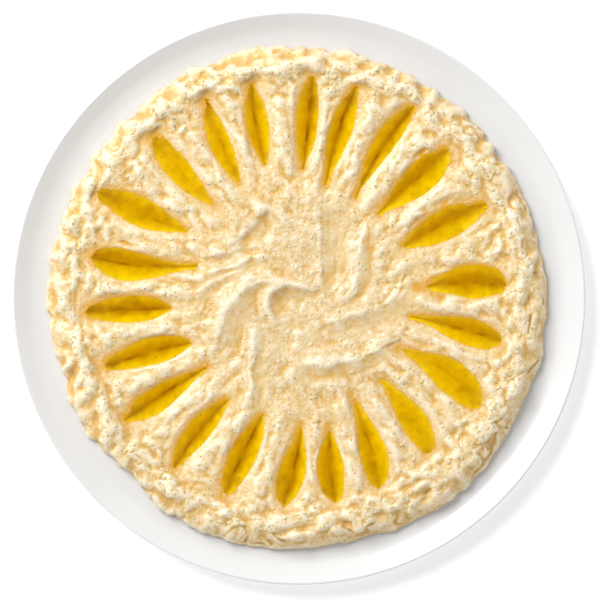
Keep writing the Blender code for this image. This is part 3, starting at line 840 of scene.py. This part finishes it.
def crumbs_piece(material):
    """Crumbs of paste that stand half out of the surface, most of them on the rim."""
    chance = np.random.default_rng(71)
    weight = dry() * (0.10 + 0.35 * smooth(0.40, 0.55, dip_share) + 1.5 * smooth(0.82, 0.90, dip_share))
    weight = weight * (dip_share < 0.985)
    at = pick_points(700, weight, chance, 2.4)
    points, up = dip_grid.reshape(-1, 3)[at], dip_normals.reshape(-1, 3)[at]
    n = len(at)
    size = 0.50 + 0.75 * chance.random(n) ** 2.0
    across, along = frames(up, chance.random(n) * 2 * PI)
    shape, faces = ball()
    shape = np.repeat(shape[None], n, 0)
    wave = perlin((shape * 1.3 + chance.random((n, 1, 3)) * 90).reshape(-1, 3), 72).reshape(n, -1, 1)
    shape = shape * (1 + 0.34 * wave)
    stretch = 1 + 0.5 * chance.random(n)
    high = 0.36 + 0.18 * chance.random(n)
    local = shape * np.stack([stretch, 1 / np.sqrt(stretch), high], 1)[:, None] * size[:, None, None]
    p = points[:, None] + local[..., :1] * across[:, None] + local[..., 1:2] * along[:, None]
    p = p + (local[..., 2:] - (0.10 * size)[:, None, None]) * up[:, None]
    k = shape.shape[1]
    faces = (faces[None] + np.arange(n)[:, None, None] * k).reshape(-1, 3)
    crumbs = mesh_object("crumbs", p.reshape(-1, 3) * MM, faces, material)
    # Painted shade on the undersides of the crumbs, a touch of painted light on their tops
    low = np.clip(0.35 - shape[..., 2], 0, 1) * 0.18 - 0.02
    number_attribute(crumbs, "painted_relief_shading", low.ravel())
    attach(crumbs, "root")
    return crumbs


def flecks_piece(material):
    """Thin flakes of charred skin that lie on the paste."""
    chance = np.random.default_rng(73)
    patchy = smooth(-0.5, 0.6, perlin(dip_grid.reshape(-1, 3) / 16.0, 74)).reshape(dip_share.shape)
    weight = dry() * (0.35 + 0.65 * smooth(0.35, 0.55, dip_share) + 0.3 * smooth(0.84, 0.9, dip_share))
    weight = weight * (0.25 + patchy) * (dip_share < 0.99)
    at = pick_points(420, weight, chance, 2.4)
    points, up = dip_grid.reshape(-1, 3)[at], dip_normals.reshape(-1, 3)[at]
    n = len(at)
    up = up + 0.35 * (chance.random((n, 3)) - 0.5)
    up /= np.linalg.norm(up, axis=1, keepdims=True)
    across, along = frames(up, chance.random(n) * 2 * PI)
    size = 0.20 + 0.26 * chance.random(n) ** 1.8
    longer = 1 + 0.9 * chance.random(n)
    sides = 7
    turn = np.arange(sides) * 2 * PI / sides
    reach = 0.7 + 0.5 * chance.random((n, sides))
    ex = reach * np.cos(turn) * (size * longer)[:, None]
    ey = reach * np.sin(turn) * size[:, None]
    bend = 0.08 * (chance.random((n, 1)) - 0.2) * np.cos(2 * turn)[None]
    edge_high = points[:, None] + ex[..., None] * across[:, None] + ey[..., None] * along[:, None]
    edge_high = edge_high + (bend + 0.05)[..., None] * up[:, None]
    edge_low = edge_high - 0.12 * up[:, None]
    top = (points + 0.09 * up)[:, None]
    low = (points - 0.09 * up)[:, None]
    p = np.concatenate([top, edge_high, edge_low, low], 1)
    k = p.shape[1]
    faces = []
    for i in range(sides):
        j = (i + 1) % sides
        a, b, c, d = 1 + i, 1 + j, 1 + sides + i, 1 + sides + j
        faces += [(0, a, b), (a, c, d), (a, d, b), (k - 1, d, c)]
    faces = (np.array(faces)[None] + np.arange(n)[:, None, None] * k).reshape(-1, 3)
    flecks = mesh_object("flecks", p.reshape(-1, 3) * MM, faces, material)
    shades = np.array([(0.46, 0.32, 0.17), (0.55, 0.37, 0.18), (0.34, 0.24, 0.14), (0.62, 0.42, 0.20), (0.48, 0.39, 0.25)])
    shade = shades[chance.integers(0, len(shades), n)] * (0.8 + 0.4 * chance.random((n, 1)))
    colour_attribute(flecks, "tint", np.repeat(shade, k, 0))
    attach(flecks, "root")
    return flecks


# ---------------------------------------------------------------- oil
def dip_only(x, y):
    """The dip's surface over the plate's floor, without its fine relief."""
    return dip_top(x, y, outline(np.arctan2(y, x)))[0]


def pool_edges(row, table, along):
    """Where the oil's level meets the paste on both sides of a groove, a little inside the paste."""
    mid, axis, side = groove_place(row)
    length, bow = row[3], row[6]
    off = np.linspace(-13.0, 13.0, 105)
    u = np.clip(along / length, 0, 1)
    middle = bow * (1 - (2 * u - 1) ** 2)
    al = np.repeat((along - length / 2)[:, None], len(off), 1)
    of = off[None] + middle[:, None]
    x = mid[0] + axis[0] * al + side[0] * of
    y = mid[1] + axis[1] * al + side[1] * of
    over = dip_only(x.ravel(), y.ravel()).reshape(x.shape) - level(row) - 0.5
    lean = 0.06 * float(side @ LIGHT) * np.interp(along, table[0], table[1])
    right, left = np.zeros(len(along)), np.zeros(len(along))
    for i, row_over in enumerate(over):
        c = int(np.argmin(np.abs(off - lean[i])))
        c = max(c - 6, 0) + int(np.argmin(row_over[max(c - 6, 0) : c + 7]))
        hi = lo = c
        while hi < len(off) - 1 and row_over[hi] < 0:
            hi += 1
        while lo > 0 and row_over[lo] < 0:
            lo -= 1
        left[i], right[i] = off[hi], off[lo]
        if hi > c:
            f = np.clip(row_over[hi] / max(row_over[hi] - row_over[hi - 1], 1e-6), 0, 1)
            left[i] = off[hi] - f * (off[1] - off[0])
        if lo < c:
            f = np.clip(row_over[lo] / max(row_over[lo] - row_over[lo + 1], 1e-6), 0, 1)
            right[i] = off[lo] + f * (off[1] - off[0])
        if hi == lo:
            left[i], right[i] = off[c] + 0.15, off[c] - 0.15
    return left + middle, right + middle, lean + middle


def oil_tint(place, turned, wide, deep, crease):
    """Colour of the groove seen through the oil, with painted light and shade on its banks and bottom.

    place runs from -1 at the bank nearest the light to 1 at the far one, turned is 1 where the
    groove lies across the light and 0 where it lies along it, wide is 1 for the widest pools and
    crease is 1 on the bottom line, where painted shade darkens it.
    """
    # Painted light and shade for grooves across the light: dark towards the near bank and the bottom, bright on the far
    # bank
    narrow = np.interp(
        place, [-1.2, -0.85, -0.68, -0.5, -0.34, -0.17, 0.0, 0.17, 0.34, 0.5, 0.68, 0.85, 1.1],
        [0.68, 0.64, 0.62, 0.58, 0.54, 0.47, 0.41, 0.51, 0.65, 0.76, 0.80, 0.83, 0.87],
    )  # fmt: skip
    broad = np.interp(
        place, [-1.2, -0.82, -0.68, -0.55, -0.41, -0.27, -0.14, 0.0, 0.14, 0.27, 0.41, 0.55, 0.68, 0.82, 1.0],
        [0.70, 0.65, 0.58, 0.52, 0.48, 0.475, 0.495, 0.55, 0.62, 0.68, 0.75, 0.80, 0.85, 0.88, 0.89],
    )  # fmt: skip
    crossing = narrow + (broad - narrow) * wide
    following = np.interp(np.abs(place), [0.0, 0.4, 0.6, 0.85, 1.1], [0.73, 0.72, 0.74, 0.79, 0.83])
    red = following + (crossing - following) * turned
    # Painted shade along the bottom line
    red = 1.02 * red * (1 - 0.50 * crease)
    shallow = np.exp(-((np.maximum(deep, 0) / 0.6) ** 1.2))
    green = 0.648 * red**1.5 * (1 + 0.05 * shallow)
    blue = 0.006 * shallow
    return np.stack([red, green, blue], 1)


def oil_piece(material):
    """Every pool: a level surface with a small meniscus, its edge just inside the paste."""
    points, faces, tints = [], [], []
    nu, nv = 72, 24
    start = 0
    for number, (row, table) in enumerate(zip(GROOVES, GROOVE_TABLES)):
        mid, axis, side = groove_place(row)
        length = row[3]
        first = 5.2 if number == 0 else -1.8  # the first pool ends short of its groove
        along = (1 - np.cos(np.linspace(0, PI, nu))) / 2 * (length + 1.8 - first) + first
        left, right, crease = pool_edges(row, table, along)
        q = np.sin(np.linspace(-PI / 2, PI / 2, nv))
        off = (left + right)[:, None] / 2 + (left - right)[:, None] / 2 * q[None]
        al = np.repeat(along[:, None], nv, 1) - length / 2
        x = (mid[0] + axis[0] * al + side[0] * off).ravel()
        y = (mid[1] + axis[1] * al + side[1] * off).ravel()
        under = dip_only(x, y)
        height = level(row)
        deep = height - under
        # The meniscus climbs where the paste is near
        rise = MENISCUS * np.exp(-np.clip(deep, 0.0, 9) / 0.3)
        top = np.stack([x, y, FLOOR_Z + height + rise], 1)
        base = np.stack([x, y, FLOOR_Z + np.minimum(under - 0.7, height - 0.5)], 1)
        points += [top, base]
        facing = float(side @ LIGHT)
        half = np.maximum(np.interp(along, table[0], table[1]), 0.8)
        u = np.clip(along / length, 0, 1)
        place = (off - (row[6] * (1 - (2 * u - 1) ** 2))[:, None]) / half[:, None]
        place = -place.ravel() * math.copysign(1, facing)
        place = place + 0.14 * perlin(in_space(x / 5.0, y / 5.0, number), 43)
        # A painted shade line along the groove's bottom, stronger where the groove lies across the light
        across = (off - crease[:, None]).ravel() + 0.6 * perlin(in_space(x / 6.0, y / 6.0, number), 41)
        line = np.exp(-((across / 0.55) ** 2)) * smooth(-0.3, 0.4, perlin(in_space(x / 8.0, y / 8.0, number * 3.1), 42))
        line = line * smooth(0.3, 1.4, deep) * (0.25 + 0.75 * smooth(0.1, 0.7, abs(facing)))
        wide = float(smooth(12.0, 14.4, row[4]))
        tint = oil_tint(place, float(smooth(0.05, 0.75, abs(facing))), wide, deep, line)
        # Browner where char has sunk and darker towards the outer end, with painted shadow of the rim on the outer end
        # of pools that point towards the light
        stain_and_shadow = smooth(0.15, 0.7, perlin(in_space(x / 7.0, y / 7.0, number * 1.7), 44))
        ragged = np.repeat(u, nv) + 0.10 * perlin(in_space(x / 3.5, y / 3.5, number * 2.9), 45)
        # Painted shadow of the rim
        shaded = 0.38 * max(0.0, float(axis @ LIGHT)) * smooth(0.68, 0.98, ragged)
        stain_and_shadow = 0.22 * stain_and_shadow + 0.07 * smooth(0.55, 0.95, np.repeat(u, nv)) + shaded - 0.062
        stain_and_shadow = stain_and_shadow + 0.14 * perlin(in_space(x / 2.6, y / 2.6, number * 4.3), 46)
        tint = tint * (1 - stain_and_shadow[:, None] * (0.8, 1.0, 1.0))
        tints += [tint, tint]
        i, j = np.meshgrid(np.arange(nu - 1), np.arange(nv - 1), indexing="ij")
        f = (start + i * nv + j).ravel()
        up = np.stack([f, f + nv, f + nv + 1, f + 1], 1)
        g0 = f + nu * nv
        down = np.stack([g0, g0 + 1, g0 + nv + 1, g0 + nv], 1)
        loop = [i * nv for i in range(nu)] + [(nu - 1) * nv + j for j in range(1, nv)]
        loop += [i * nv + nv - 1 for i in range(nu - 2, -1, -1)] + [j for j in range(nv - 2, 0, -1)]
        loop = start + np.array(loop)
        nxt = np.roll(loop, -1)
        skirt = np.stack([loop, loop + nu * nv, nxt + nu * nv, nxt], 1)
        faces += [up, down, skirt]
        start += 2 * nu * nv
    faces = np.concatenate(faces)
    oil = mesh_object("oil_pools", np.concatenate(points) * MM, faces, material)
    oil.data.set_sharp_from_angle(angle=math.radians(60))
    colour_attribute(oil, "tint", np.concatenate(tints))
    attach(oil, "root")
    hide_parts(*[f"oil_{i:02d}" for i in range(1, len(GROOVES) + 1)])
    return oil


# ---------------------------------------------------------------- floor, light and camera
def floor_piece():
    mesh = bpy.data.meshes.new("floor")
    mesh.from_pydata([(-4, -4, 0), (4, -4, 0), (4, 4, 0), (-4, 4, 0)], [], [(0, 1, 2, 3)])
    floor = bpy.data.objects.new("floor", mesh)
    bpy.context.scene.collection.objects.link(floor)
    n = Nodes("pale_table")
    n.put(n.shader.inputs["Base Color"], n.mix(n.noise(60.0, 2.0), (0.86, 0.86, 0.86), (0.87, 0.87, 0.87)))
    n.shader.inputs["Roughness"].default_value = 0.9
    n.shader.inputs["Specular IOR Level"].default_value = 0.2
    n.shader.inputs["Emission Color"].default_value = (1, 1, 1, 1)
    n.shader.inputs["Emission Strength"].default_value = 0.35
    mesh.materials.append(n.material)


def key_light(power, size, distance):
    data = bpy.data.lights.new("key", "AREA")
    data.shape = "DISK"
    data.size = size
    data.energy = power
    light = bpy.data.objects.new("key", data)
    b, e = math.radians(KEY_BEARING), math.radians(KEY_RISE)
    towards = Vector((math.cos(b) * math.cos(e), math.sin(b) * math.cos(e), math.sin(e)))
    light.location = towards * distance
    light.rotation_mode = "QUATERNION"
    light.rotation_quaternion = towards.to_track_quat("Z", "Y")
    bpy.context.scene.collection.objects.link(light)


def world_light(strength):
    """An even white room, dimmer straight overhead where the camera stands."""
    world = bpy.data.worlds.new("studio")
    bpy.context.scene.world = world
    world.use_nodes = True
    tree = world.node_tree
    back = tree.nodes["Background"]
    back.inputs["Strength"].default_value = strength
    where = tree.nodes.new("ShaderNodeTexCoord")
    parts = tree.nodes.new("ShaderNodeSeparateXYZ")
    tree.links.new(where.outputs["Generated"], parts.inputs[0])
    ramp = tree.nodes.new("ShaderNodeMapRange")
    ramp.interpolation_type = "SMOOTHSTEP"
    ramp.inputs["From Min"].default_value = 0.80
    ramp.inputs["From Max"].default_value = 0.97
    ramp.inputs["To Min"].default_value = 1.0
    ramp.inputs["To Max"].default_value = 0.03
    tree.links.new(parts.outputs["Z"], ramp.inputs["Value"])
    mix = tree.nodes.new("ShaderNodeMix")
    mix.data_type = "RGBA"
    mix.inputs[6].default_value = (0, 0, 0, 1)
    mix.inputs[7].default_value = (1.0, 1.0, 1.0, 1)
    tree.links.new(ramp.outputs["Result"], mix.inputs[0])
    tree.links.new(mix.outputs[2], back.inputs["Color"])


def camera():
    """Straight down, the plate's lip 286.8 pixels in radius round pixel (298.9, 298.2) of 600."""
    pixel = PLATE_R / 286.8 * MM
    height = 2.0
    data = bpy.data.cameras.new("camera")
    made = bpy.data.objects.new("camera", data)
    data.sensor_width = 36.0
    data.lens = 18.0 * (height - 0.0120) / (300 * pixel)
    data.clip_start, data.clip_end = 0.05, 20
    made.location = (1.1 * pixel, -1.8 * pixel, height)
    made.rotation_euler = (0, 0, 0)
    bpy.context.scene.collection.objects.link(made)
    bpy.context.scene.camera = made


camera()
bpy.context.scene.view_settings.view_transform = "Standard"
bpy.context.scene.view_settings.look = "None"
world_light(0.70)
key_light(43.5, 1.3, 2.2)
floor_piece()

plate_piece()
paste = dip_material()
dip, dip_grid, dip_normals, dip_share = dip_piece(paste)
oil_piece(oil_material())
crumbs_piece(paste)
flecks_piece(fleck_material())
